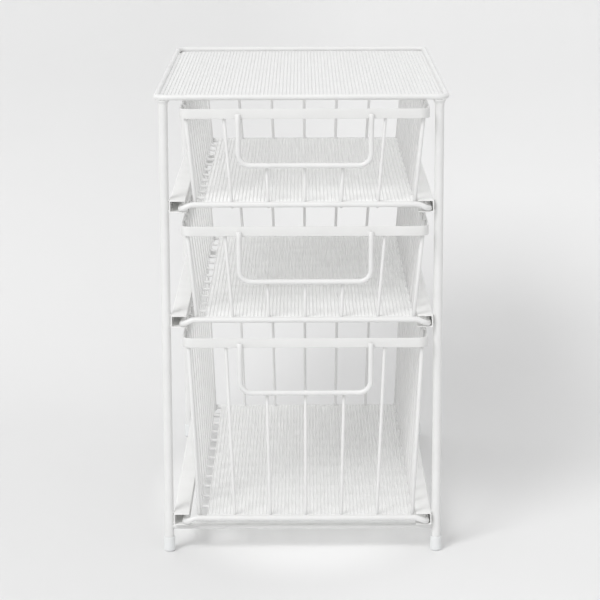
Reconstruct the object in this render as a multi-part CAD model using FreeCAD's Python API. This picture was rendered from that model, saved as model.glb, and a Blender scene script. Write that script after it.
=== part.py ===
import FreeCAD, Part
import math
import os

# Three-drawer wire organizer in powder-coated steel, in millimetres.
# X runs to the right, Y to the back and Z up. The origin is on the floor, under the
# middle of the box that holds the whole object, handles included.

# The whole frame
frame_width = 286.0  # outside of the top loop, left to right
frame_depth = 438.0  # outside of the top loop, front to back
frame_height = 460.0  # floor to the top of the loop

# Top loop and legs
loop_wire = 5.5  # round wire of the top loop
loop_bend = 9.0  # bend radius of its corners, on the wire's centre line
leg_diameter = 9.0
leg_inset_x = 9.5  # leg axis inside the loop's outer side
leg_inset_y = 6.0  # leg axis inside the loop's outer front and back
leg_flare_diameter = 12.5  # swaged top of a leg, where it is welded under the loop
leg_flare_height = 5.5
cross_rod = 5.5  # round rod that ties two legs together, under the lowest rails

# Push-on plastic feet
foot_diameter = 11.2
foot_height = 14.9
foot_floor = 3.0  # plastic under the leg's end
foot_edge = 1.5  # rounding of the foot's lower edge
foot_fit = 0.05  # slack all round between a leg and its foot

# Sheet-metal rails, open towards the middle
rail_sheet = 1.1
rail_width = 16.0  # outside of the web to the free edges of the flanges
rail_inner_height = 11.0  # between the two flanges
rail_bend = 1.0  # inner bend radius of the sheet
rail_front_reach = 9.0  # rail end in front of the front legs' axes
rail_back_reach = 0.0  # rail end behind the back legs' axes
stop_height = 6.0  # tab folded up at the rail's back end, which stops the runner
lower_rail_height = 34.9  # floor to the middle of the lowest rails

# Baskets
upper_basket_height = 94.3  # front bar's axis to the top of the rim, upper two baskets
top_gap = 6.25  # rim of the upper basket to the loop above it
middle_gap = 11.05  # rim of the middle basket to the rails above it
lower_gap = 7.5  # rim of the lower basket to the rails above it
rim_height = 9.5
rim_sheet = 1.5
rim_corner = 10.0  # outer radius of the rim's corners
rim_leg_gap = 5.6  # rim to the legs on the side where the baskets sit closer
basket_wire = 3.2  # upright and floor wires
corner_wire = 4.0
wire_pitch = 35.3  # spacing that the wires aim for
wire_bend = 3.5  # bend radius under the floor, on the centre line
wire_top_inset = 1.5  # wire ends below the top of the rim
floor_side_gap = 2.2  # floor wires to the flanges' free edges

# Slide frame of a basket: front bar, back bar and the two runners, one bent wire
slide_wire = 5.5
runner_side_play = 4.25  # runner to the rail's web on each side, basket in the middle
right_runner_gap = 1.05  # what is left of that play on the right, where the baskets sit
runner_lift = 0.3  # runner above the lower flange
bar_rise = 4.8  # front and back bars above the runners
bar_reach = 2.4  # front bar's axis in front of the rail's end
stop_gap = 1.0  # runner to the stop tab when the basket is in
horn_run = 10.8  # sideways length over which a bar goes down to its runner
horn_bend = 6.5  # bend radius at the runner
bar_bend = 12.0  # bend radius where the bar starts down

# Handle
handle_wire = 5.0
handle_half_width = 64.0  # middle to the axis of an upright
handle_drop = 46.0  # lower edge of the rim to the grip's axis
handle_lap = 4.0  # length welded on the rim
handle_bend = 12.0
handle_knee = 1.0  # the knee under the rim
handle_knee_bend = 8.0

# Fine wire mesh, simplified to a plate with slots
mesh_height = 1.2
mesh_slot_pitch = 11.0  # side to side
mesh_slot_length = 31.0  # front to back, aimed for
mesh_bar = 3.2  # plate left between two slots
mesh_border = 4.0

# Clearance between pieces that are welded together, so that no two share any room
weld_gap = 0.1

# Places worked out from the sizes
loop_radius = loop_wire / 2
leg_radius = leg_diameter / 2
slide_radius = slide_wire / 2
wire_radius = basket_wire / 2
corner_radius = corner_wire / 2
handle_radius = handle_wire / 2
rod_radius = cross_rod / 2

leg_x = frame_width / 2 - leg_inset_x
web_outer_x = leg_x - leg_radius - weld_gap
web_inner_x = web_outer_x - rail_sheet
flange_edge_x = web_outer_x - rail_width
basket_shift = runner_side_play - right_runner_gap
runner_x = web_inner_x - runner_side_play - slide_radius
floor_half_width = flange_edge_x - basket_shift - wire_radius - floor_side_gap
rim_half_width = leg_x - leg_radius - basket_shift - rim_leg_gap
wire_to_rim = rim_sheet + wire_radius + weld_gap
flare = rim_half_width - wire_to_rim - floor_half_width

bar_to_wire = slide_radius + wire_radius + weld_gap
bar_from_loop = leg_inset_y - rail_front_reach - bar_reach
handle_from_bar = flare + wire_to_rim - bar_to_wire + weld_gap + handle_wire
handle_overhang = handle_from_bar - bar_from_loop
loop_front_y = -(frame_depth - handle_overhang) / 2
loop_back_y = loop_front_y + frame_depth
leg_front_y = loop_front_y + leg_inset_y
leg_back_y = loop_back_y - leg_inset_y
rail_front_y = leg_front_y - rail_front_reach
rail_back_y = leg_back_y + rail_back_reach
bar_front_y = rail_front_y - bar_reach
bar_back_y = rail_back_y - rail_sheet - stop_gap - slide_radius
floor_front_y = bar_front_y + bar_to_wire
floor_back_y = bar_back_y - bar_to_wire
rim_front_y = floor_front_y - flare - wire_to_rim
rim_back_y = floor_back_y + flare + wire_to_rim
middle_y = (floor_front_y + floor_back_y) / 2

loop_z = frame_height - loop_radius
loop_under_z = loop_z - loop_radius
rail_half_height = rail_inner_height / 2 + rail_sheet
runner_above_rail = runner_lift + slide_radius - rail_inner_height / 2
bar_above_rail = runner_above_rail + bar_rise
rim_above_rail = bar_above_rail + upper_basket_height
upper_rail_z = loop_under_z - top_gap - rim_above_rail
middle_rail_z = upper_rail_z - rail_half_height - middle_gap - rim_above_rail
lower_rim_top_z = middle_rail_z - rail_half_height - lower_gap
lower_basket_height = lower_rim_top_z - lower_rail_height - bar_above_rail
rod_z = lower_rail_height - rail_half_height - weld_gap - rod_radius

levels = {
    "upper": (upper_rail_z, upper_basket_height),
    "middle": (middle_rail_z, upper_basket_height),
    "lower": (lower_rail_height, lower_basket_height),
}


def vec(x, y, z):
    return FreeCAD.Vector(x, y, z)


# Bent wires: straight runs joined by tangent arcs
def corner_arc(before, corner, after, radius):
    to_before = (before - corner).normalize()
    to_after = (after - corner).normalize()
    half_angle = to_before.getAngle(to_after) / 2
    setback = radius / math.tan(half_angle)
    bisector = (to_before + to_after).normalize()
    middle = corner + bisector * (radius / math.sin(half_angle) - radius)
    return corner + to_before * setback, middle, corner + to_after * setback


def bent_wire(points, radii, diameter, closed=False):
    count = len(points)
    arcs = {}
    for index in range(count) if closed else range(1, count - 1):
        before, after = points[index - 1], points[(index + 1) % count]
        arcs[index] = corner_arc(before, points[index], after, radii[index])
    edges = []
    for index in range(count if closed else count - 1):
        ahead = (index + 1) % count
        leave = arcs[index][2] if index in arcs else points[index]
        arrive = arcs[ahead][0] if ahead in arcs else points[ahead]
        edges.append(Part.makeLine(leave, arrive))
        if ahead in arcs:
            edges.append(Part.Arc(*arcs[ahead]).toShape())
    start = edges[0].Vertexes[0].Point
    along = edges[0].Vertexes[-1].Point - start
    section = Part.Face(Part.Wire(Part.makeCircle(diameter / 2, start, along)))
    return Part.Wire(edges).makePipe(section)


# Flat pieces with round corners
def rounded_outline(x0, x1, y0, y1, z, radius):
    diagonal = radius * (1 - math.sqrt(0.5))
    corners = [
        (vec(x0, y0 + radius, z), vec(x0 + diagonal, y0 + diagonal, z), vec(x0 + radius, y0, z)),
        (vec(x1 - radius, y0, z), vec(x1 - diagonal, y0 + diagonal, z), vec(x1, y0 + radius, z)),
        (vec(x1, y1 - radius, z), vec(x1 - diagonal, y1 - diagonal, z), vec(x1 - radius, y1, z)),
        (vec(x0 + radius, y1, z), vec(x0 + diagonal, y1 - diagonal, z), vec(x0, y1 - radius, z)),
    ]
    edges = []
    for index, (start, middle, end) in enumerate(corners):
        edges.append(Part.Arc(start, middle, end).toShape())
        edges.append(Part.makeLine(end, corners[(index + 1) % len(corners)][0]))
    return Part.Wire(edges)


def rounded_block(x0, x1, y0, y1, z0, z1, radius):
    face = Part.Face(rounded_outline(x0, x1, y0, y1, z0, radius))
    return face.extrude(vec(0, 0, z1 - z0))


# A mesh panel stands as one plate with rows of slots, in place of its crossed fine wires
def mesh_panel(x0, x1, y0, y1, z0, corner):
    across = max(1, round((x1 - x0 - 2 * mesh_border) / mesh_slot_pitch))
    along = max(1, round((y1 - y0 - 2 * mesh_border) / (mesh_slot_length + mesh_bar)))
    step_x = (x1 - x0 - 2 * mesh_border + mesh_bar) / across
    step_y = (y1 - y0 - 2 * mesh_border + mesh_bar) / along
    outline = rounded_outline(x0, x1, y0, y1, z0, corner)
    holes = []
    for column in range(across):
        for row in range(along):
            left = x0 + mesh_border + column * step_x
            front = y0 + mesh_border + row * step_y
            right = left + step_x - mesh_bar
            back = front + step_y - mesh_bar
            hole = Part.makePolygon(
                [
                    vec(left, front, z0),
                    vec(right, front, z0),
                    vec(right, back, z0),
                    vec(left, back, z0),
                    vec(left, front, z0),
                ]
            )
            holes.append(hole)
    face = Part.Face([outline] + holes, "Part::FaceMakerBullseye")
    return face.extrude(vec(0, 0, mesh_height))


# Frame: top loop, top mesh, legs, feet, rails and the two lower rods
def top_loop():
    half = frame_width / 2 - loop_radius
    front = loop_front_y + loop_radius
    back = loop_back_y - loop_radius
    points = [
        vec(-half, front, loop_z),
        vec(half, front, loop_z),
        vec(half, back, loop_z),
        vec(-half, back, loop_z),
    ]
    return bent_wire(points, [loop_bend] * len(points), loop_wire, closed=True)


def top_mesh():
    inset = loop_wire + weld_gap
    half = frame_width / 2 - inset
    corner = loop_bend - loop_radius - weld_gap
    z0 = loop_z - mesh_height / 2
    return mesh_panel(-half, half, loop_front_y + inset, loop_back_y - inset, z0, corner)


def leg(x, y):
    top_z = loop_under_z - weld_gap
    shaft = Part.makeCylinder(leg_radius, top_z - foot_floor, vec(x, y, foot_floor))
    flare_z = top_z - leg_flare_height
    swage = Part.makeCone(leg_radius, leg_flare_diameter / 2, leg_flare_height, vec(x, y, flare_z))
    return shaft.fuse(swage).removeSplitter().Solids[0]


def foot(x, y):
    cap = Part.makeCylinder(foot_diameter / 2, foot_height, vec(x, y, 0))
    lower_edge = [edge for edge in cap.Edges if edge.BoundBox.ZMax < foot_edge]
    cap = cap.makeFillet(foot_edge, lower_edge)
    bore = Part.makeCylinder(leg_radius + foot_fit, foot_height, vec(x, y, foot_floor))
    return cap.cut(bore)


def rail_outline(y, z_middle):
    half_outer = rail_half_height
    half_inner = rail_inner_height / 2
    outer_bend = rail_bend + rail_sheet
    cut = 1 - math.sqrt(0.5)

    def point(x, z):
        return vec(x, y, z_middle + z)

    def bend(side, radius, wall_x, wall_z):
        first = point(wall_x - radius, side * wall_z)
        middle = point(wall_x - radius * cut, side * (wall_z - radius * cut))
        last = point(wall_x, side * (wall_z - radius))
        return first, middle, last

    low_out = bend(-1, outer_bend, web_outer_x, half_outer)
    high_out = bend(1, outer_bend, web_outer_x, half_outer)
    low_in = bend(-1, rail_bend, web_inner_x, half_inner)
    high_in = bend(1, rail_bend, web_inner_x, half_inner)
    edges = [
        Part.makeLine(point(flange_edge_x, -half_outer), low_out[0]),
        Part.Arc(*low_out).toShape(),
        Part.makeLine(low_out[2], high_out[2]),
        Part.Arc(high_out[2], high_out[1], high_out[0]).toShape(),
        Part.makeLine(high_out[0], point(flange_edge_x, half_outer)),
        Part.makeLine(point(flange_edge_x, half_outer), point(flange_edge_x, half_inner)),
        Part.makeLine(point(flange_edge_x, half_inner), high_in[0]),
        Part.Arc(*high_in).toShape(),
        Part.makeLine(high_in[2], low_in[2]),
        Part.Arc(low_in[2], low_in[1], low_in[0]).toShape(),
        Part.makeLine(low_in[0], point(flange_edge_x, -half_inner)),
        Part.makeLine(point(flange_edge_x, -half_inner), point(flange_edge_x, -half_outer)),
    ]
    return Part.Wire(edges)


def right_rail(z_middle):
    channel = Part.Face(rail_outline(rail_front_y, z_middle))
    channel = channel.extrude(vec(0, rail_back_y - rail_front_y, 0))
    tab_bottom = z_middle - rail_inner_height / 2
    tab_left = flange_edge_x + rail_bend
    tab_width = web_inner_x - rail_bend - tab_left
    tab_place = vec(tab_left, rail_back_y - rail_sheet, tab_bottom)
    tab = Part.makeBox(tab_width, rail_sheet, stop_height, tab_place)
    return channel.fuse(tab).removeSplitter().Solids[0]


def left_of(shape):
    return shape.mirror(vec(0, 0, 0), vec(1, 0, 0))


def rod_between_legs(y):
    rod = Part.makeCylinder(rod_radius, 2 * leg_x, vec(-leg_x, y, rod_z), vec(1, 0, 0))
    for side in (-1, 1):
        around_leg = Part.makeCylinder(
            leg_radius + weld_gap, 4 * rod_radius, vec(side * leg_x, y, rod_z - 2 * rod_radius)
        )
        rod = rod.cut(around_leg)
    return max(rod.Solids, key=lambda solid: solid.Volume)


# Baskets, modelled in the middle of the frame and then moved to where they sit
def spread(low, high, pitch):
    bays = max(2, round((high - low) / pitch))
    return [low + (high - low) * step / bays for step in range(bays + 1)]


def heights(rail_z, basket_height):
    bar_z = rail_z + bar_above_rail
    rim_top = bar_z + basket_height
    mesh_z = bar_z + slide_radius - mesh_height
    hoop_z = mesh_z - weld_gap - wire_radius
    return {
        "bar": bar_z,
        "runner": rail_z + runner_above_rail,
        "rim_top": rim_top,
        "rim_low": rim_top - rim_height,
        "wire_top": rim_top - wire_top_inset,
        "grip": rim_top - rim_height - handle_drop,
        "mesh": mesh_z,
        "hoop": hoop_z,
        "long": hoop_z - basket_wire - weld_gap,
    }


# How far a leaning wire has moved out at a height, from its lower bend to its top
def lean(z, low, z_levels):
    return flare * (z - low) / (z_levels["wire_top"] - low)


def slide_frame(z_levels):
    start = runner_x - horn_run
    bar_z = z_levels["bar"]
    run_z = z_levels["runner"]
    front = [
        vec(-start, bar_front_y, bar_z),
        vec(start, bar_front_y, bar_z),
        vec(runner_x, bar_front_y, run_z),
    ]
    back = [
        vec(runner_x, bar_back_y, run_z),
        vec(start, bar_back_y, bar_z),
        vec(-start, bar_back_y, bar_z),
        vec(-runner_x, bar_back_y, run_z),
    ]
    points = front + back + [vec(-runner_x, bar_front_y, run_z)]
    radii = [bar_bend, bar_bend, horn_bend, horn_bend, bar_bend, bar_bend, horn_bend, horn_bend]
    return bent_wire(points, radii, slide_wire, closed=True)


def rim_band(z_levels):
    low, high = z_levels["rim_low"], z_levels["rim_top"]
    outer = rounded_block(
        -rim_half_width, rim_half_width, rim_front_y, rim_back_y, low, high, rim_corner
    )
    inner = rounded_block(
        -rim_half_width + rim_sheet,
        rim_half_width - rim_sheet,
        rim_front_y + rim_sheet,
        rim_back_y - rim_sheet,
        low,
        high,
        rim_corner - rim_sheet,
    )
    return outer.cut(inner)


def handle(z_levels):
    top_y = rim_front_y - weld_gap - handle_radius
    grip_z = z_levels["grip"]
    wires_y = floor_front_y - lean(grip_z, z_levels["long"], z_levels)
    grip_y = wires_y - wire_radius - weld_gap - handle_radius
    points = []
    for side in (-1, 1):
        x = side * handle_half_width
        upright = [
            vec(x, top_y, z_levels["rim_low"] + handle_lap),
            vec(x, top_y, z_levels["rim_low"] - handle_knee),
            vec(x, grip_y, grip_z),
        ]
        points += upright if side < 0 else upright[::-1]
    radii = [0, handle_knee_bend, handle_bend, handle_bend, handle_knee_bend, 0]
    return bent_wire(points, radii, handle_wire)


def under_handle(x):
    return abs(x) < handle_half_width - handle_radius - basket_wire


# Long wires run down the front, back under the floor and up the back
def long_wires(z_levels):
    wires = []
    low = z_levels["long"]
    top_scale = (floor_half_width + flare) / floor_half_width
    for x in spread(-floor_half_width, floor_half_width, wire_pitch)[1:-1]:
        front_top = z_levels["grip"] if under_handle(x) else z_levels["wire_top"]
        share = (front_top - low) / (z_levels["wire_top"] - low)
        front_x = x + (x * top_scale - x) * share
        points = [
            vec(front_x, floor_front_y - flare * share, front_top),
            vec(x, floor_front_y, low),
            vec(x, floor_back_y, low),
            vec(x * top_scale, floor_back_y + flare, z_levels["wire_top"]),
        ]
        wires.append(bent_wire(points, [0, wire_bend, wire_bend, 0], basket_wire))
    return Part.makeCompound(wires)


# Side hoops run down one side, across under the floor and up the other side
def side_hoops(z_levels):
    wires = []
    low = z_levels["hoop"]
    half_depth = (floor_back_y - floor_front_y) / 2
    top_scale = (half_depth + flare) / half_depth
    for y in spread(floor_front_y, floor_back_y, wire_pitch)[1:-1]:
        top_y = middle_y + (y - middle_y) * top_scale
        points = [
            vec(-floor_half_width - flare, top_y, z_levels["wire_top"]),
            vec(-floor_half_width, y, low),
            vec(floor_half_width, y, low),
            vec(floor_half_width + flare, top_y, z_levels["wire_top"]),
        ]
        wires.append(bent_wire(points, [0, wire_bend, wire_bend, 0], basket_wire))
    return Part.makeCompound(wires)


# Corner posts stand behind the bars and lean out into the rim's round corners
def corner_posts(z_levels):
    posts = []
    nest = (rim_corner - rim_sheet - corner_radius - weld_gap) * math.sqrt(0.5)
    top_x = rim_half_width - rim_corner + nest
    bar_to_post = slide_radius + corner_radius + weld_gap
    ends = (
        (bar_front_y + bar_to_post, rim_front_y + rim_corner - nest),
        (bar_back_y - bar_to_post, rim_back_y - rim_corner + nest),
    )
    for low_y, top_y in ends:
        for side in (-1, 1):
            low = vec(side * floor_half_width, low_y, z_levels["bar"] - slide_radius)
            top = vec(side * top_x, top_y, z_levels["wire_top"])
            posts.append(bent_wire([low, top], [], corner_wire))
    return Part.makeCompound(posts)


def floor_mesh(z_levels):
    half = floor_half_width - wire_bend
    ends = wire_radius + weld_gap
    front = floor_front_y + ends
    back = floor_back_y - ends
    return mesh_panel(-half, half, front, back, z_levels["mesh"], wire_bend)


def basket(level, rail_z, basket_height):
    z_levels = heights(rail_z, basket_height)
    pieces = {
        "rim_band": rim_band(z_levels),
        "handle": handle(z_levels),
        "slide_frame": slide_frame(z_levels),
        "long_wires": long_wires(z_levels),
        "side_hoops": side_hoops(z_levels),
        "corner_posts": corner_posts(z_levels),
        "floor_mesh": floor_mesh(z_levels),
    }
    shift = vec(basket_shift, 0, 0)
    return {f"{level}_{name}": shape.translated(shift) for name, shape in pieces.items()}


def organizer():
    nodes = {"top_loop": top_loop(), "top_mesh": top_mesh()}
    for row, y in (("front", leg_front_y), ("back", leg_back_y)):
        for side, x in (("left", -leg_x), ("right", leg_x)):
            nodes[f"leg_{row}_{side}"] = leg(x, y)
            nodes[f"foot_{row}_{side}"] = foot(x, y)
        nodes[f"cross_rod_{row}"] = rod_between_legs(y)
    for level, (rail_z, basket_height) in levels.items():
        rail = right_rail(rail_z)
        nodes[f"{level}_rail_right"] = rail
        nodes[f"{level}_rail_left"] = left_of(rail)
        nodes.update(basket(level, rail_z, basket_height))
    return nodes


def main():
    os.makedirs("parts", exist_ok=True)
    for name, shape in organizer().items():
        shape.exportStep(f"parts/{name}.step")
        print(f"{name}: {len(shape.Solids)} solids, {shape.Volume:.0f} mm3, valid {shape.isValid()}")


main()
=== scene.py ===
from math import cos, pi, radians, sin, sqrt, tan

import bmesh
import bpy
from mathutils import Matrix, Vector


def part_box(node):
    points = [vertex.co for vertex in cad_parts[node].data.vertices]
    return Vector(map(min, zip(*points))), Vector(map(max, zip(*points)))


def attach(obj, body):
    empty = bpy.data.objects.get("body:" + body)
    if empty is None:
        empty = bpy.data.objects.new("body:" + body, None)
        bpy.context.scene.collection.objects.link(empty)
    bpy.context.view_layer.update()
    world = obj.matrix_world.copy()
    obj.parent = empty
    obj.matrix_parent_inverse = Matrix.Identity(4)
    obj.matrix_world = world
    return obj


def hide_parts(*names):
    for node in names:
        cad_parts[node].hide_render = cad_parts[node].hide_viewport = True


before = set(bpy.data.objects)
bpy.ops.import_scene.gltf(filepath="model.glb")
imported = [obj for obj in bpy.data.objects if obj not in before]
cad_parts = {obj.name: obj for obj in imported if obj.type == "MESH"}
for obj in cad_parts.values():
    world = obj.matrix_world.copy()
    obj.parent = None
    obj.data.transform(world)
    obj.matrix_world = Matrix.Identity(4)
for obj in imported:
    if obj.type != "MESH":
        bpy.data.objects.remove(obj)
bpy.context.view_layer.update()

mm = 0.001

# Pieces that are welded together stand a little apart, and lumps of weld bridge the gap
weld_gap = 0.1 * mm

# Top loop, legs and cross rods
loop_half_width = 143.0 * mm  # to the outside of the wire, as are its front and back edge
loop_front_edge = -208.8 * mm
loop_back_edge = 229.2 * mm
loop_bend = 9.0 * mm
loop_seam_x = 20.0 * mm  # where the two ends of the loop's wire meet
leg_from_middle = 133.5 * mm
leg_front_y = -202.8 * mm
leg_back_y = 223.2 * mm
leg_radius = 4.5 * mm
leg_chamfer = 0.5 * mm  # at the end inside the foot cap
# The flare under the loop: out from the leg's side and down from its top, in mm
leg_flare = ((0, 4.2), (0.15, 3.6), (0.5, 2.7), (1.1, 1.7), (1.7, 0.9), (1.75, 0.6), (1.6, 0))
rod_wire = 5.5 * mm

# Foot caps
cap_radius = 5.6 * mm
cap_height = 14.9 * mm
cap_bore = 4.55 * mm
cap_floor = 3.0 * mm
cap_dimple = 0.35 * mm  # height of the hollow under the sole

# Rails, each with its stop tab
rail_sheet = 1.1 * mm
rail_bend = 1.0 * mm  # inner radius
rail_edge = 0.28 * mm  # rounding of the sheet's edges
tab_width = 11.9 * mm
tab_height = 6.0 * mm

# Wires of a basket
wire = 3.2 * mm
corner_wire = 4.0 * mm
slide_wire = 5.5 * mm
handle_wire = 5.0 * mm
wire_bend = 3.5 * mm
wire_spacing = 35.3 * mm  # what the even spacing of the wires aims for

# Basket floor, seen from above, and how far the walls lean out from it
basket_middle_x = 3.2 * mm
floor_half_width = 105.9 * mm
floor_front_y = -209.35 * mm
floor_back_y = 213.5 * mm
wire_flare = 11.1 * mm
post_clearance = 0.4 * mm  # more than the weld gap, between a corner post and its bar

# Rim band: a flat strip round the outside of the wires
band_sheet = 1.5 * mm
band_corner = 10.0 * mm
band_edge = 0.42 * mm  # rounding of the strip's edges
band_seam_x = -40.0 * mm  # from the basket's middle
wire_top_drop = 1.5 * mm  # from the top of the band to the ends of the wires
band_to_wire = wire / 2 + weld_gap + band_sheet
band_half_width = floor_half_width + wire_flare + band_to_wire
band_front_y = floor_front_y - wire_flare - band_to_wire
band_back_y = floor_back_y + wire_flare + band_to_wire

# Slide frame: front and back bar, and the two runners that the bars go down to
bar_front_y = -214.2 * mm
bar_back_y = 218.35 * mm
bar_half_length = 110.0 * mm  # up to where it starts down
bar_bend = 12.0 * mm
horn_bend = 6.5 * mm
runner_from_middle = 120.8 * mm
runner_below_rail = 2.45 * mm  # from the middle of the rail's height, and so is the bar
bar_above_rail = 2.35 * mm
long_wire_below_bar = 3.45 * mm
slide_seam_x = 30.0 * mm  # from the basket's middle

# Handle: two uprights lapped on the band and a grip between them
handle_half_width = 64.0 * mm
handle_drop = 46.0 * mm
handle_lap = 4.0 * mm
handle_knee = 1.0 * mm  # below the band's lower edge
handle_knee_bend = 8.0 * mm
handle_bend = 12.0 * mm
grip_half_length = 58.0 * mm  # wires that stand behind this stretch end on it

# Fine mesh: wires across, and on top of them wires from front to back
cross_mesh_pitch = 3.1 * mm
cross_mesh_wire = 0.85 * mm
long_mesh_pitch = 3.62 * mm
long_mesh_wire = 0.95 * mm
top_mesh_step = 0.3 * mm  # from the lower to the upper layer, which are pressed together
floor_mesh_step = 0.5 * mm
top_mesh_low = Vector((1.6, -1.6, -2.1)) * mm  # from the corners of the plates in the frame
top_mesh_high = Vector((1.0, 1.6, -2.1)) * mm
floor_mesh_low = Vector((3.8, -2.5, -0.1)) * mm
floor_mesh_high = Vector((3.8, 2.5, 0)) * mm

# Lumps of weld: their sizes across, front to back and in height, and where they sit
seam_width = 2.2 * mm  # where the two ends of a closed wire meet
leg_top_weld = Vector((4.4, 4.6, 1.4)) * mm
leg_top_weld_step = 3.6 * mm  # from one lump to the next
leg_top_weld_rise = 0.5 * mm  # above the leg's end
leg_rail_weld = Vector((2.0, 5.6, 2.6)) * mm
leg_rail_weld_rise = 5.2 * mm  # above and below the middle of the rail
rod_weld = Vector((2.6, 6.6, 7.0)) * mm
band_seam = Vector((1.6, 1.9, 9.0)) * mm
band_weld = Vector((4.2, 1.3, 5.2)) * mm
band_side_weld = Vector((1.3, 4.2, 5.2)) * mm
band_weld_drop = 3.0 * mm  # from the ends of the wires
handle_weld = Vector((1.9, 1.7, 4.8)) * mm
handle_weld_side = 2.1 * mm  # to each side of the upright
handle_weld_rise = 2.4 * mm  # above the band's lower edge
handle_weld_reach = 0.2 * mm  # in front of the band
grip_weld = Vector((4.2, 2.0, 2.6)) * mm
bar_weld = Vector((3.6, 1.9, 3.4)) * mm
post_weld = Vector((4.4, 2.0, 3.8)) * mm
crossing_weld = Vector((3.0, 3.0, 1.5)) * mm

# Finishes: the stretch of 0 to 1 that noise mostly fills, for gloss and for tones, and the
# height of the fine bumps in paint and plastic
noise_span = (0.3, 0.7)
tone_span = (0.32, 0.68)
bump_height = 0.05 * mm


# Finishes
def node(tree, kind, **settings):
    made = tree.nodes.new(kind)
    for name, value in settings.items():
        if name in made.inputs:
            made.inputs[name].default_value = value
        else:
            setattr(made, name, value)
    return made


def finish(name):
    made = bpy.data.materials.new(name)
    made.use_nodes = True
    tree = made.node_tree
    tree.nodes.clear()
    out = tree.nodes.new("ShaderNodeOutputMaterial")
    shader = tree.nodes.new("ShaderNodeBsdfPrincipled")
    tree.links.new(shader.outputs["BSDF"], out.inputs["Surface"])
    place = tree.nodes.new("ShaderNodeTexCoord")
    return made, tree, shader, place.outputs["Object"]


def blotches(tree, place, scale, detail=2.0, roughness=0.5):
    made = node(tree, "ShaderNodeTexNoise", Scale=scale, Detail=detail, Roughness=roughness)
    tree.links.new(place, made.inputs["Vector"])
    return made.outputs["Fac"]


def ramp(tree, value, low, high, at_low, at_high, shape="LINEAR"):
    made = node(tree, "ShaderNodeMapRange", interpolation_type=shape)
    made.inputs["From Min"].default_value = low
    made.inputs["From Max"].default_value = high
    made.inputs["To Min"].default_value = at_low
    made.inputs["To Max"].default_value = at_high
    tree.links.new(value, made.inputs["Value"])
    return made.outputs["Result"]


def multiply_add(tree, value, factor, added):
    made = node(tree, "ShaderNodeMath", operation="MULTIPLY_ADD")
    tree.links.new(value, made.inputs[0])
    made.inputs[1].default_value = factor
    tree.links.new(added, made.inputs[2])
    return made.outputs["Value"]


def two_tones(tree, value, first, second):
    made = node(tree, "ShaderNodeValToRGB")
    for stop, position, tone in zip(made.color_ramp.elements, tone_span, (first, second)):
        stop.position = position
        stop.color = (*tone, 1)
    tree.links.new(value, made.inputs["Fac"])
    return made.outputs["Color"]


def uneven_gloss(tree, shader, value, low, high):
    tree.links.new(ramp(tree, value, *noise_span, low, high), shader.inputs["Roughness"])


def bumps(tree, shader, height, strength):
    made = node(tree, "ShaderNodeBump", Strength=strength, Distance=bump_height)
    tree.links.new(height, made.inputs["Height"])
    tree.links.new(made.outputs["Normal"], shader.inputs["Normal"])


# Powder coat: two close tones, an uneven gloss and the fine peel of baked powder
def powder_coat(name, light, dark, peel, gloss):
    made, tree, shader, place = finish(name)
    gloss_spread, fine_share = 0.09, 0.35
    tint = two_tones(tree, blotches(tree, place, scale=42.0, detail=4.0), dark, light)
    tree.links.new(tint, shader.inputs["Base Color"])
    patches = blotches(tree, place, scale=160.0, detail=3.0)
    uneven_gloss(tree, shader, patches, gloss, gloss + gloss_spread)
    coarse = blotches(tree, place, scale=900.0, roughness=0.45)
    fine = blotches(tree, place, scale=2600.0, roughness=0.6)
    bumps(tree, shader, multiply_add(tree, fine, fine_share, coarse), peel)
    shader.inputs["Specular IOR Level"].default_value = 0.5
    shader.inputs["Coat Weight"].default_value = 0.12
    shader.inputs["Coat Roughness"].default_value = 0.22
    return made


wire_paint = powder_coat(
    "white_powder_coat", light=(0.805, 0.805, 0.8), dark=(0.775, 0.775, 0.77), peel=0.35, gloss=0.33
)
# Painted shade: the wires' white coat, a tone darker, to tone down the light on the band's front
strip_paint_with_painted_shade = powder_coat(
    "white_coat_with_painted_shade_on_strip", light=(0.775, 0.775, 0.768), dark=(0.75, 0.75, 0.742), peel=0.28, gloss=0.3
)
# Painted shade: the wires' white coat, a little darker, to tone down the light on the top mesh
mesh_paint_with_painted_shade = powder_coat(
    "white_coat_with_painted_shade_on_mesh", light=(0.793, 0.793, 0.79), dark=(0.775, 0.775, 0.772), peel=0.3, gloss=0.4
)
# Painted light: the wires' white coat, much paler, for light that the shaded basket floors lack
floor_paint_with_painted_light = powder_coat(
    "white_coat_with_painted_light_on_floor_mesh", light=(0.94, 0.94, 0.934), dark=(0.915, 0.915, 0.909), peel=0.3, gloss=0.4
)
# Painted light: the wires' white coat, paler, for light that the rails' shaded flanges lack
sheet_paint_with_painted_light = powder_coat(
    "white_coat_with_painted_light_on_sheet", light=(0.865, 0.865, 0.857), dark=(0.84, 0.84, 0.83), peel=0.3, gloss=0.36
)


# Clear plastic gone slightly cloudy, with a satin surface
def clear_plastic():
    made, tree, shader, place = finish("cloudy_clear_plastic")
    cloud = blotches(tree, place, scale=60.0, detail=1.0)
    tint = two_tones(tree, cloud, first=(0.82, 0.834, 0.838), second=(0.83, 0.843, 0.846))
    tree.links.new(tint, shader.inputs["Base Color"])
    uneven_gloss(tree, shader, blotches(tree, place, scale=120.0, detail=1.0), low=0.36, high=0.42)
    bumps(tree, shader, blotches(tree, place, scale=400.0, detail=1.0), strength=0.05)
    shader.inputs["Transmission Weight"].default_value = 0.06
    shader.inputs["IOR"].default_value = 1.45
    return made


foot_plastic = clear_plastic()


# Shaping tools
def among(verts):
    chosen = set(verts)
    return list({e for v in verts for e in v.link_edges if all(end in chosen for end in e.verts)})


def verts_of(geom):
    return [g for g in geom if isinstance(g, bmesh.types.BMVert)]


def edges_of(geom):
    return [g for g in geom if isinstance(g, bmesh.types.BMEdge)]


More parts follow.
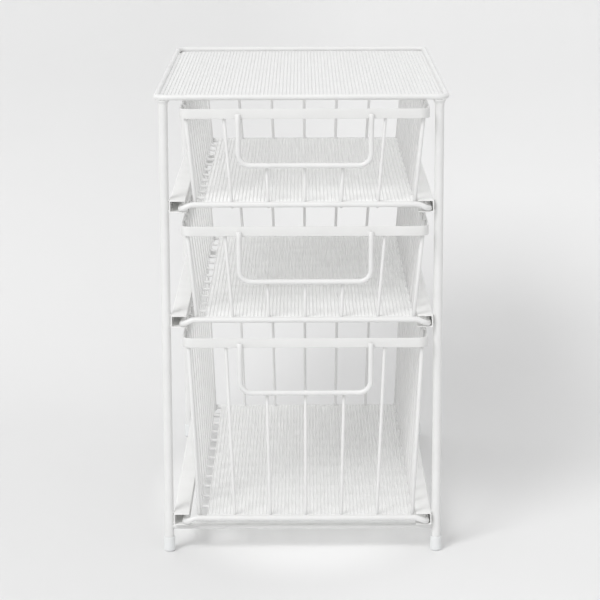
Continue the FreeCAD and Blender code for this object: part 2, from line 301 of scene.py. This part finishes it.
def ring(bm, centre, along, radius, sides):
    place = Matrix.Translation(centre) @ along.to_track_quat("Z", "Y").to_matrix().to_4x4()
    made = bmesh.ops.create_circle(bm, cap_ends=False, segments=sides, radius=radius, matrix=place)
    return among(made["verts"])


def pull(bm, edges, move):
    made = bmesh.ops.extrude_edge_only(bm, edges=edges)["geom"]
    bmesh.ops.translate(bm, vec=move, verts=verts_of(made))
    return edges_of(made)


def shrink(bm, edges, centre, share):
    verts = list({v for e in edges for v in e.verts})
    bmesh.ops.scale(bm, vec=(share,) * 3, space=Matrix.Translation(-centre), verts=verts)


def turn(bm, edges, centre, axis, angle):
    verts = list({v for e in edges for v in e.verts})
    facet = radians(11)
    steps = max(2, round(angle / facet))
    made = bmesh.ops.spin(
        bm, geom=verts + edges, cent=centre, axis=axis, angle=angle, steps=steps, use_merge=False
    )
    return edges_of(made["geom_last"])


# Closes the end of a wire in two narrowing steps, each given as shares of the radius
def round_end(bm, edges, here, along, radius):
    for step, share in ((0.22, 0.86), (0.16, 0.72)):
        here = here + along * radius * step
        edges = pull(bm, edges, along * radius * step)
        shrink(bm, edges, here, share)
    bmesh.ops.edgeloop_fill(bm, edges=edges)


# A round wire through its corners, bent at each one, with its ends nipped round
def bent_wire(bm, corners, bends, thickness, sides=14, closed=False):
    corners = [Vector(c) for c in corners]
    radius = thickness / 2
    here = (corners[0] + corners[1]) / 2 if closed else corners[0]
    stops = corners[1:] + [corners[0], here] if closed else corners[1:]
    bends = bends[1:] + bends[:1] if closed else bends[1:]
    along = (stops[0] - here).normalized()
    first = ring(bm, here, along, radius, sides)
    if not closed:
        round_end(bm, first, here, -along, radius)
    edges = first
    for corner, after, bend in zip(stops, stops[1:], bends):
        into = (corner - here).normalized()
        out = (after - corner).normalized()
        angle = into.angle(out)
        setback = bend * tan(angle / 2)
        bend_start = corner - into * setback
        edges = pull(bm, edges, bend_start - here)
        axis = into.cross(out).normalized()
        edges = turn(bm, edges, bend_start + axis.cross(into) * bend, axis, angle)
        here = corner + out * setback
    if closed:
        bmesh.ops.bridge_loops(bm, edges=edges + first)
    else:
        along = (stops[-1] - here).normalized()
        edges = pull(bm, edges, stops[-1] - here)
        round_end(bm, edges, stops[-1], along, radius)


# A turned shape: its half outline, spun once round its own upright axis, and its poles closed
def turned(bm, outline, x, y, steps=32):
    same_place = 0.002 * mm
    verts = [bm.verts.new((x + r, y, z)) for r, z in outline]
    edges = [bm.edges.new(pair) for pair in zip(verts, verts[1:])]
    bmesh.ops.spin(
        bm, geom=verts + edges, cent=(x, y, 0), axis=(0, 0, 1), angle=2 * pi, steps=steps, use_merge=True
    )
    bmesh.ops.remove_doubles(bm, verts=bm.verts, dist=same_place)


def edges_over(bm, degrees):
    return [e for e in bm.edges if len(e.link_faces) == 2 and e.calc_face_angle(0) > radians(degrees)]


# Rounds the edges of cut sheet
def round_edges(bm, radius):
    sharp = edges_over(bm, 60)
    bmesh.ops.bevel(
        bm, geom=sharp, offset=radius, offset_type="OFFSET", segments=3, profile=0.5,
        affect="EDGES", clamp_overlap=True, material=-1,
    )


# Moves a shape so that its middle is the middle of its place
def settle(bm, low, high):
    xs, ys, zs = zip(*(v.co for v in bm.verts))
    middle = Vector(((min(xs) + max(xs)) / 2, (min(ys) + max(ys)) / 2, (min(zs) + max(zs)) / 2))
    bmesh.ops.translate(bm, vec=(low + high) / 2 - middle, verts=bm.verts)


# Paint-covered weld: a small flattened lump where two pieces meet
def weld(bm, centre, size):
    place = Matrix.Translation(centre) @ Matrix.Diagonal((*size, 1))
    bmesh.ops.create_icosphere(bm, subdivisions=2, radius=0.5, matrix=place)


def put_in_scene(name, data):
    made = bpy.data.objects.new(name, data)
    bpy.context.scene.collection.objects.link(made)
    return made


def show(name, bm, material):
    for face in bm.faces:
        face.smooth = True
    mesh = bpy.data.meshes.new(name)
    bm.to_mesh(mesh)
    bm.free()
    mesh.materials.append(material)
    return put_in_scene(name, mesh)


# A finished piece, shaded sharp at the edges that turn by more than crease, in degrees
def piece(name, bm, body, material, cad_node, crease=40):
    bmesh.ops.recalc_face_normals(bm, faces=bm.faces)
    for edge in edges_over(bm, crease):
        edge.smooth = False
    made = show(name, bm, material)
    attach(made, body)
    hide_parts(cad_node)
    return made


# A straight wire of the fine mesh, cut square at both ends
def mesh_wire(bm, start, run, thickness):
    first = ring(bm, start, run.normalized(), thickness / 2, sides=8)
    last = pull(bm, first, run)
    for end in (first, last):
        bmesh.ops.edgeloop_fill(bm, edges=end)


# One layer of the mesh: a single wire, repeated side by side at an even pitch
def mesh_layer(name, body, low, high, lengthwise, lift, paint, cad_node):
    size = high - low
    if lengthwise:
        pitch, thickness = long_mesh_pitch, long_mesh_wire
        run, across = Vector((0, size.y, 0)), Vector((size.x - thickness, 0, 0))
    else:
        pitch, thickness = cross_mesh_pitch, cross_mesh_wire
        run, across = Vector((size.x, 0, 0)), Vector((0, size.y - thickness, 0))
    bays = round(across.length / pitch)
    start = low + across.normalized() * thickness / 2
    start.z = low.z + lift
    bm = bmesh.new()
    mesh_wire(bm, start, run, thickness)
    made = piece(name, bm, body, paint, cad_node, crease=70)
    repeat = made.modifiers.new("repeat", "ARRAY")
    repeat.count = bays + 1
    repeat.use_relative_offset = False
    repeat.use_constant_offset = True
    repeat.constant_offset_displace = across / bays


# The mesh is welded, so the upper layer sinks into the lower one
def welded_mesh(name, body, low, high, step, paint, cad_node):
    lift = cross_mesh_wire / 2
    mesh_layer(f"{name}_crosswise", body, low, high, False, lift, paint, cad_node)
    mesh_layer(f"{name}_lengthwise", body, low, high, True, lift + step, paint, cad_node)


# The frame
loop_low, loop_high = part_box("top_loop")
loop_wire = loop_high.z - loop_low.z
loop_z = (loop_low.z + loop_high.z) / 2
loop_front_y = loop_front_edge + loop_wire / 2
loop_back_y = loop_back_edge - loop_wire / 2


def top_loop():
    bm = bmesh.new()
    half = loop_half_width - loop_wire / 2
    corners = [
        (-half, loop_front_y, loop_z),
        (half, loop_front_y, loop_z),
        (half, loop_back_y, loop_z),
        (-half, loop_back_y, loop_z),
    ]
    bent_wire(bm, corners, [loop_bend] * 4, loop_wire, sides=24, closed=True)
    seam = Vector((seam_width, loop_wire, loop_wire * 0.99))
    weld(bm, Vector((loop_seam_x, loop_back_y, loop_z)), seam)
    piece("top_loop_wire", bm, "frame", wire_paint, "top_loop")


def top_mesh():
    low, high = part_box("top_mesh")
    low, high = low + top_mesh_low, high + top_mesh_high
    welded_mesh("top_mesh", "frame", low, high, top_mesh_step, mesh_paint_with_painted_shade, "top_mesh")


# A bar from the foot cap to the loop, with welds to the loop and to the rails' webs
def leg(row, side, x, y):
    low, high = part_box(f"leg_{row}_{side}")
    top = high.z
    outline = [(0, low.z), (leg_radius - leg_chamfer, low.z), (leg_radius, low.z + leg_chamfer)]
    outline += [(leg_radius + out * mm, top - down * mm) for out, down in leg_flare]
    outline += [(0, top)]
    bm = bmesh.new()
    turned(bm, outline, x, y)
    loop_y = loop_front_y if row == "front" else loop_back_y
    for step in (-1, 0, 1):
        weld(bm, Vector((x + step * leg_top_weld_step, loop_y, top + leg_top_weld_rise)), leg_top_weld)
    inward = -1 if x > 0 else 1
    weld_x = x + inward * (leg_radius - weld_gap)
    for rail_z in rail_heights:
        for rise in (-leg_rail_weld_rise, leg_rail_weld_rise):
            weld(bm, Vector((weld_x, y, rail_z + rise)), leg_rail_weld)
    piece(f"{row}_{side}_leg", bm, "frame", wire_paint, f"leg_{row}_{side}")


# The cap's half outline goes out along the sole, up the wall, over the rim and down the bore
def foot_cap(row, side, x, y):
    outline = [
        (0, cap_dimple),
        (2.6 * mm, cap_dimple),
        (3.0 * mm, 0),
        (3.9 * mm, 0),
        (4.7 * mm, 0.22 * mm),
        (5.3 * mm, 0.8 * mm),
        (cap_radius - 0.04 * mm, 1.6 * mm),
        (cap_radius - 0.02 * mm, 2.6 * mm),
        (cap_radius, cap_height - 1.5 * mm),
        (cap_radius, cap_height - 0.45 * mm),
        (cap_radius - 0.25 * mm, cap_height - 0.1 * mm),
        (cap_radius - 0.55 * mm, cap_height),
        (cap_bore + 0.25 * mm, cap_height - 0.12 * mm),
        (cap_bore, cap_height - 0.5 * mm),
        (cap_bore, cap_floor),
        (0, cap_floor),
    ]
    bm = bmesh.new()
    turned(bm, outline, x, y, steps=40)
    piece(f"{row}_{side}_foot_cap", bm, "frame", foot_plastic, f"foot_{row}_{side}")


def cross_rod(row, y):
    low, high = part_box(f"cross_rod_{row}")
    z = (low.z + high.z) / 2
    bm = bmesh.new()
    bent_wire(bm, [(low.x, y, z), (high.x, y, z)], [0, 0], rod_wire, sides=20)
    for x in (low.x, high.x):
        weld(bm, Vector((x, y, z)), rod_weld)
    piece(f"{row}_cross_rod", bm, "frame", wire_paint, f"cross_rod_{row}")


# A rail is one sheet: flange, bend, web, bend, flange, with its stop tab turned up at the back
def rail(level, side):
    low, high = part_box(f"{level}_rail_{side}")
    out = 1 if side == "right" else -1
    bend = rail_bend + rail_sheet / 2
    lower_z = low.z + rail_sheet / 2
    upper_z = high.z - rail_sheet / 2
    flange_x, web_outer_x = (low.x, high.x) if out > 0 else (high.x, low.x)
    web_x = web_outer_x - out * rail_sheet / 2
    bend_x = web_x - out * bend
    bm = bmesh.new()
    ends = [bm.verts.new((flange_x, y, lower_z)) for y in (low.y, high.y)]
    edges = [bm.edges.new(ends)]
    across = Vector((bend_x - flange_x, 0, 0))
    edges = pull(bm, edges, across)
    axis = Vector((0, -out, 0))
    edges = turn(bm, edges, Vector((bend_x, 0, lower_z + bend)), axis, pi / 2)
    edges = pull(bm, edges, Vector((0, 0, upper_z - lower_z - 2 * bend)))
    edges = turn(bm, edges, Vector((bend_x, 0, upper_z - bend)), axis, pi / 2)
    pull(bm, edges, -across)
    bmesh.ops.recalc_face_normals(bm, faces=bm.faces)
    bmesh.ops.solidify(bm, geom=bm.faces[:], thickness=rail_sheet)
    settle(bm, low, high)
    tab = bmesh.ops.create_cube(bm, size=1.0)["verts"]
    tab_z = lower_z + rail_sheet / 2 + tab_height / 2
    tab_middle = Vector(((flange_x + web_x) / 2, high.y - rail_sheet / 2, tab_z))
    bmesh.ops.scale(bm, vec=(tab_width, rail_sheet, tab_height), verts=tab)
    bmesh.ops.translate(bm, vec=tab_middle, verts=tab)
    round_edges(bm, rail_edge)
    piece(f"{level}_{side}_rail", bm, "frame", sheet_paint_with_painted_light, f"{level}_rail_{side}")


levels = ("upper", "middle", "lower")
rail_heights = []
for level in levels:
    rail_low, rail_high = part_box(f"{level}_rail_left")
    rail_heights.append((rail_low.z + rail_high.z) / 2)

top_loop()
top_mesh()
for row, leg_y in (("front", leg_front_y), ("back", leg_back_y)):
    for side, leg_x in (("left", -leg_from_middle), ("right", leg_from_middle)):
        leg(row, side, leg_x, leg_y)
        foot_cap(row, side, leg_x, leg_y)
    cross_rod(row, leg_y)
for level in levels:
    for side in ("left", "right"):
        rail(level, side)


# The baskets
class Basket:
    def __init__(self, level, rail_z):
        self.level = level
        self.body = f"{level}_basket"
        self.rim_low, self.rim_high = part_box(f"{level}_rim_band")
        self.runner_z = rail_z - runner_below_rail
        self.bar_z = rail_z + bar_above_rail
        self.long_z = self.bar_z - long_wire_below_bar
        self.hoop_z = self.long_z + wire + weld_gap
        self.wire_top = self.rim_high.z - wire_top_drop
        self.grip_z = self.rim_low.z - handle_drop

    def name(self, what):
        return f"{self.level}_{what}"

    # How far up its wall a height is, as a share, and how far the wall has leaned out there
    def share_up(self, z):
        return (z - self.long_z) / (self.wire_top - self.long_z)

    def lean(self, z):
        return wire_flare * self.share_up(z)


# Places of the wires between two corners, evenly spaced
def share_out(low, high):
    bays = max(2, round((high - low) / wire_spacing))
    return [low + (high - low) * step / bays for step in range(1, bays)]


def from_middle(corners):
    return [(x + basket_middle_x, y, z) for x, y, z in corners]


def rim_band(basket):
    bm = bmesh.new()
    low_z, high_z = basket.rim_low.z, basket.rim_high.z
    sides = [basket_middle_x - band_half_width, basket_middle_x + band_half_width]
    front = [(x, band_front_y, low_z) for x in sides]
    back = [(x, band_back_y, low_z) for x in reversed(sides)]
    outline = [bm.verts.new(place) for place in front + back]
    bm.faces.new(outline)
    bmesh.ops.bevel(
        bm, geom=outline, offset=band_corner, offset_type="OFFSET", segments=10, profile=0.5,
        affect="VERTICES", material=-1,
    )
    strip = bmesh.ops.inset_region(
        bm, faces=bm.faces[:], thickness=band_sheet, use_boundary=True, use_even_offset=True
    )
    middle = [f for f in bm.faces if f not in strip["faces"]]
    bmesh.ops.delete(bm, geom=middle, context="FACES_ONLY")
    made = bmesh.ops.extrude_face_region(bm, geom=bm.faces[:], use_keep_orig=True)["geom"]
    bmesh.ops.translate(bm, vec=(0, 0, high_z - low_z), verts=verts_of(made))
    bmesh.ops.recalc_face_normals(bm, faces=bm.faces)
    round_edges(bm, band_edge)
    seam = Vector((basket_middle_x + band_seam_x, band_back_y - band_sheet / 2, (low_z + high_z) / 2))
    weld(bm, seam, band_seam)
    piece(basket.name("band"), bm, basket.body, strip_paint_with_painted_shade, basket.name("rim_band"))


def handle(basket):
    bm = bmesh.new()
    rim_z = basket.rim_low.z
    top_y = band_front_y - weld_gap - handle_wire / 2
    wires_y = floor_front_y - basket.lean(basket.grip_z)
    grip_y = wires_y - wire / 2 - weld_gap - handle_wire / 2
    uprights = []
    for side in (-1, 1):
        x = side * handle_half_width
        ends = [(x, top_y, rim_z + handle_lap), (x, top_y, rim_z - handle_knee), (x, grip_y, basket.grip_z)]
        uprights.append(from_middle(ends))
    left, right = uprights
    bends = [0, handle_knee_bend, handle_bend, handle_bend, handle_knee_bend, 0]
    bent_wire(bm, left + right[::-1], bends, handle_wire, sides=20)
    weld_y, weld_z = band_front_y - handle_weld_reach, rim_z + handle_weld_rise
    for upright in uprights:
        for step in (-handle_weld_side, handle_weld_side):
            weld(bm, Vector((upright[0][0] + step, weld_y, weld_z)), handle_weld)
    piece(basket.name("handle_wire"), bm, basket.body, wire_paint, basket.name("handle"))


def slide_frame(basket):
    bm = bmesh.new()
    bar_z, runner_z = basket.bar_z, basket.runner_z
    corners = [
        (-bar_half_length, bar_front_y, bar_z),
        (bar_half_length, bar_front_y, bar_z),
        (runner_from_middle, bar_front_y, runner_z),
        (runner_from_middle, bar_back_y, runner_z),
        (bar_half_length, bar_back_y, bar_z),
        (-bar_half_length, bar_back_y, bar_z),
        (-runner_from_middle, bar_back_y, runner_z),
        (-runner_from_middle, bar_front_y, runner_z),
    ]
    bends = [bar_bend, bar_bend, horn_bend, horn_bend] * 2
    bent_wire(bm, from_middle(corners), bends, slide_wire, sides=22, closed=True)
    seam = Vector((seam_width, slide_wire * 1.07, slide_wire * 1.07))
    weld(bm, Vector((basket_middle_x + slide_seam_x, bar_back_y, bar_z)), seam)
    piece(basket.name("slide_wire"), bm, basket.body, wire_paint, basket.name("slide_frame"))


# Wires up the front, along under the floor and up the back; behind the grip they end on it
def long_wires(basket):
    bm = bmesh.new()
    widen = (floor_half_width + wire_flare) / floor_half_width
    bar_sides = (bar_front_y + slide_wire / 2 + weld_gap, bar_back_y - slide_wire / 2 - weld_gap)
    weld_z = basket.wire_top - band_weld_drop
    for x in share_out(-floor_half_width, floor_half_width):
        ends_on_grip = abs(x) < grip_half_length
        front_z = basket.grip_z if ends_on_grip else basket.wire_top
        front_x = x + (x * widen - x) * basket.share_up(front_z)
        corners = [
            (front_x, floor_front_y - basket.lean(front_z), front_z),
            (x, floor_front_y, basket.long_z),
            (x, floor_back_y, basket.long_z),
            (x * widen, floor_back_y + wire_flare, basket.wire_top),
        ]
        corners = from_middle(corners)
        bent_wire(bm, corners, [0, wire_bend, wire_bend, 0], wire)
        for y in bar_sides:
            weld(bm, Vector((x + basket_middle_x, y, basket.bar_z)), bar_weld)
        front_x, front_y, front_z = corners[0]
        if ends_on_grip:
            weld(bm, Vector((front_x, front_y - wire / 2, front_z)), grip_weld)
        else:
            weld(bm, Vector((front_x, band_front_y + band_sheet + weld_gap, weld_z)), band_weld)
        weld(bm, Vector((corners[3][0], band_back_y - band_sheet - weld_gap, weld_z)), band_weld)
    piece(basket.name("lengthwise_wires"), bm, basket.body, wire_paint, basket.name("long_wires"))


# Wires down one side, across under the floor and up the other side
def side_hoops(basket):
    bm = bmesh.new()
    middle_y = (floor_front_y + floor_back_y) / 2
    half_depth = (floor_back_y - floor_front_y) / 2
    widen = (half_depth + wire_flare) / half_depth
    top_x = floor_half_width + wire_flare
    weld_x = band_half_width - band_sheet - weld_gap
    for y in share_out(floor_front_y, floor_back_y):
        top_y = middle_y + (y - middle_y) * widen
        corners = [
            (-top_x, top_y, basket.wire_top),
            (-floor_half_width, y, basket.hoop_z),
            (floor_half_width, y, basket.hoop_z),
            (top_x, top_y, basket.wire_top),
        ]
        bent_wire(bm, from_middle(corners), [0, wire_bend, wire_bend, 0], wire)
        for x in (basket_middle_x - weld_x, basket_middle_x + weld_x):
            weld(bm, Vector((x, top_y, basket.wire_top - band_weld_drop)), band_side_weld)
        for x in share_out(-floor_half_width, floor_half_width):
            crossing = Vector((x + basket_middle_x, y, (basket.hoop_z + basket.long_z) / 2))
            weld(bm, crossing, crossing_weld)
    piece(basket.name("crosswise_wires"), bm, basket.body, wire_paint, basket.name("side_hoops"))


# Posts from the bars up into the band's round corners
def corner_posts(basket):
    bm = bmesh.new()
    nest = (band_corner - band_sheet - corner_wire / 2 - weld_gap) * sqrt(0.5)
    into_corner = band_corner - nest
    top_x = band_half_width - into_corner
    bar_to_post = slide_wire / 2 + corner_wire / 2 + weld_gap + post_clearance
    ends = (
        (bar_front_y + bar_to_post, band_front_y + into_corner, 1),
        (bar_back_y - bar_to_post, band_back_y - into_corner, -1),
    )
    for low_y, top_y, inward in ends:
        for side in (-1, 1):
            low_x = basket_middle_x + side * floor_half_width
            foot = Vector((low_x, low_y, basket.bar_z - slide_wire / 2))
            top = Vector((basket_middle_x + side * top_x, top_y, basket.wire_top))
            bent_wire(bm, [foot, top], [0, 0], corner_wire, sides=18)
            weld_y = low_y - inward * (corner_wire / 2 + weld_gap)
            weld(bm, Vector((low_x, weld_y, basket.bar_z)), post_weld)
    piece(basket.name("corner_wires"), bm, basket.body, wire_paint, basket.name("corner_posts"))


def floor_mesh(basket):
    low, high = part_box(basket.name("floor_mesh"))
    low, high = low + floor_mesh_low, high + floor_mesh_high
    name, cad_node = basket.name("mesh"), basket.name("floor_mesh")
    welded_mesh(name, basket.body, low, high, floor_mesh_step, floor_paint_with_painted_light, cad_node)


for level, rail_z in zip(levels, rail_heights):
    basket = Basket(level, rail_z)
    rim_band(basket)
    handle(basket)
    slide_frame(basket)
    long_wires(basket)
    side_hoops(basket)
    corner_posts(basket)
    floor_mesh(basket)


# Room, light and camera, in metres

# Pale paper with painted light and shade: painted shade to the left, painted light to the right,
# where the object's shadow falls, and a painted light patch that lifts the shadow round the middle,
# where the object stands. Its back isn't seen, so that the object can be looked at from behind.
def backdrop_paint():
    made, tree, shader, place = finish("studio_paper")
    # Painted shade and light across the paper, a little cloudiness, and the painted light patch
    left, right = -0.3, 0.3
    painted_gradient_share, cloud_share = 0.9, 0.1
    darker, paler = 0.765, 0.822
    painted_light_squeeze, painted_light_inner, painted_light_outer, painted_light_lift = (1.8, 1.0, 1.0), 0.2, 0.32, 0.15
    split = tree.nodes.new("ShaderNodeSeparateXYZ")
    tree.links.new(place, split.inputs["Vector"])
    # Painted shade to the left, painted light to the right
    across = ramp(tree, split.outputs["X"], left, right, 0, painted_gradient_share, "SMOOTHSTEP")
    cloud = multiply_add(tree, blotches(tree, place, scale=3.0, detail=3.0), cloud_share, across)
    tone = ramp(tree, cloud, *tone_span, darker, paler)
    narrowed = node(tree, "ShaderNodeVectorMath", operation="MULTIPLY")
    tree.links.new(place, narrowed.inputs[0])
    narrowed.inputs[1].default_value = painted_light_squeeze
    reach = node(tree, "ShaderNodeVectorMath", operation="LENGTH")
    tree.links.new(narrowed.outputs["Vector"], reach.inputs[0])
    # Painted light: a paler patch round the object's middle lifts its shadow on the paper
    painted_light_patch = ramp(tree, reach.outputs["Value"], painted_light_inner, painted_light_outer, 1, 0, "SMOOTHSTEP")
    tree.links.new(multiply_add(tree, painted_light_patch, painted_light_lift, tone), shader.inputs["Base Color"])
    shader.inputs["Roughness"].default_value = 0.9
    shader.inputs["Specular IOR Level"].default_value = 0.1
    unseen_from_behind(tree, shader)
    return made


def unseen_from_behind(tree, shader):
    ray = tree.nodes.new("ShaderNodeLightPath")
    side = tree.nodes.new("ShaderNodeNewGeometry")
    unseen = node(tree, "ShaderNodeMath", operation="MULTIPLY")
    tree.links.new(ray.outputs["Is Camera Ray"], unseen.inputs[0])
    tree.links.new(side.outputs["Backfacing"], unseen.inputs[1])
    clear = tree.nodes.new("ShaderNodeBsdfTransparent")
    pick = tree.nodes.new("ShaderNodeMixShader")
    tree.links.new(unseen.outputs["Value"], pick.inputs[0])
    tree.links.new(shader.outputs["BSDF"], pick.inputs[1])
    tree.links.new(clear.outputs["BSDF"], pick.inputs[2])
    tree.links.new(pick.outputs["Shader"], tree.get_output_node("ALL").inputs["Surface"])


# Paper sweep: flat floor, a wide bend, then up the wall
def paper_sweep(half_width, front_y, wall_y, bend, wall_height):
    bm = bmesh.new()
    ends = [bm.verts.new((x, front_y, 0)) for x in (-half_width, half_width)]
    edges = [bm.edges.new(ends)]
    edges = pull(bm, edges, Vector((0, wall_y - bend - front_y, 0)))
    edges = turn(bm, edges, Vector((0, wall_y - bend, bend)), Vector((1, 0, 0)), pi / 2)
    pull(bm, edges, Vector((0, 0, wall_height)))
    bmesh.ops.recalc_face_normals(bm, faces=bm.faces)
    if next(iter(bm.faces)).normal.z < 0:
        bmesh.ops.reverse_faces(bm, faces=bm.faces)
    show("paper_sweep", bm, backdrop_paint())


# A round soft box at a bearing to the left of the front and at a height angle, both in degrees,
# aimed at the middle of the object
def soft_box(name, bearing, height_angle, distance, size, power):
    aim = Vector((0, 0, 0.2))
    level, up = cos(radians(height_angle)), sin(radians(height_angle))
    across, ahead = sin(radians(bearing)), cos(radians(bearing))
    place = aim + distance * Vector((-level * across, -level * ahead, up))
    data = bpy.data.lights.new(name, "AREA")
    data.shape = "DISK"
    data.size = size
    data.energy = power
    made = put_in_scene(name, data)
    made.location = place
    made.rotation_euler = (aim - place).to_track_quat("-Z", "Y").to_euler()


# Even light from all round, stronger from overhead and from the front. The camera itself sees
# an even pale grey behind the paper. A direction's height and depth run from -1 to 1.
def room_light(level, overhead, front, seen_level):
    overhead_starts, overhead_full = 0.3, 0.75
    front_full, front_ends = -0.9, -0.3
    world = bpy.data.worlds.new("studio")
    bpy.context.scene.world = world
    world.use_nodes = True
    tree = world.node_tree
    facing = tree.nodes.new("ShaderNodeTexCoord")
    split = tree.nodes.new("ShaderNodeSeparateXYZ")
    tree.links.new(facing.outputs["Generated"], split.inputs["Vector"])
    above = ramp(
        tree, split.outputs["Z"], overhead_starts, overhead_full, level, overhead, "SMOOTHSTEP"
    )
    ahead = ramp(
        tree, split.outputs["Y"], front_full, front_ends, front - level, 0, "SMOOTHSTEP"
    )
    both = node(tree, "ShaderNodeMath", operation="ADD")
    tree.links.new(above, both.inputs[0])
    tree.links.new(ahead, both.inputs[1])
    ray = tree.nodes.new("ShaderNodeLightPath")
    seen = tree.nodes.new("ShaderNodeMix")
    tree.links.new(ray.outputs["Is Camera Ray"], seen.inputs[0])
    tree.links.new(both.outputs["Value"], seen.inputs[2])
    seen.inputs[3].default_value = seen_level
    glow = tree.nodes["Background"]
    glow.inputs["Color"].default_value = (1.0, 1.0, 1.0, 1)
    tree.links.new(seen.outputs[0], glow.inputs["Strength"])


# A long lens a little above the object, looking down on it; angles in radians
def camera(place, lens, heading, look_down, roll):
    data = bpy.data.cameras.new("camera")
    data.sensor_width = 36.0
    data.lens = lens
    data.clip_start = 0.05
    data.clip_end = 60
    made = put_in_scene("camera", data)
    aim = Matrix.Rotation(heading, 4, "Z") @ Matrix.Rotation(pi / 2 - look_down, 4, "X")
    made.matrix_world = Matrix.Translation(place) @ aim @ Matrix.Rotation(roll, 4, "Z")
    bpy.context.scene.camera = made


paper_sweep(half_width=5.0, front_y=-6.0, wall_y=0.65, bend=0.38, wall_height=4.0)
soft_box("key", bearing=34, height_angle=41, distance=8.0, size=3.2, power=285)
room_light(level=0.52, overhead=0.73, front=0.71, seen_level=0.82)
camera(place=(0.0008, -2.4318, 0.7411), lens=139.43, heading=0.0012, look_down=0.2139, roll=-0.0035)
bpy.context.scene.view_settings.view_transform = "Standard"
bpy.context.scene.cycles.diffuse_bounces = 8
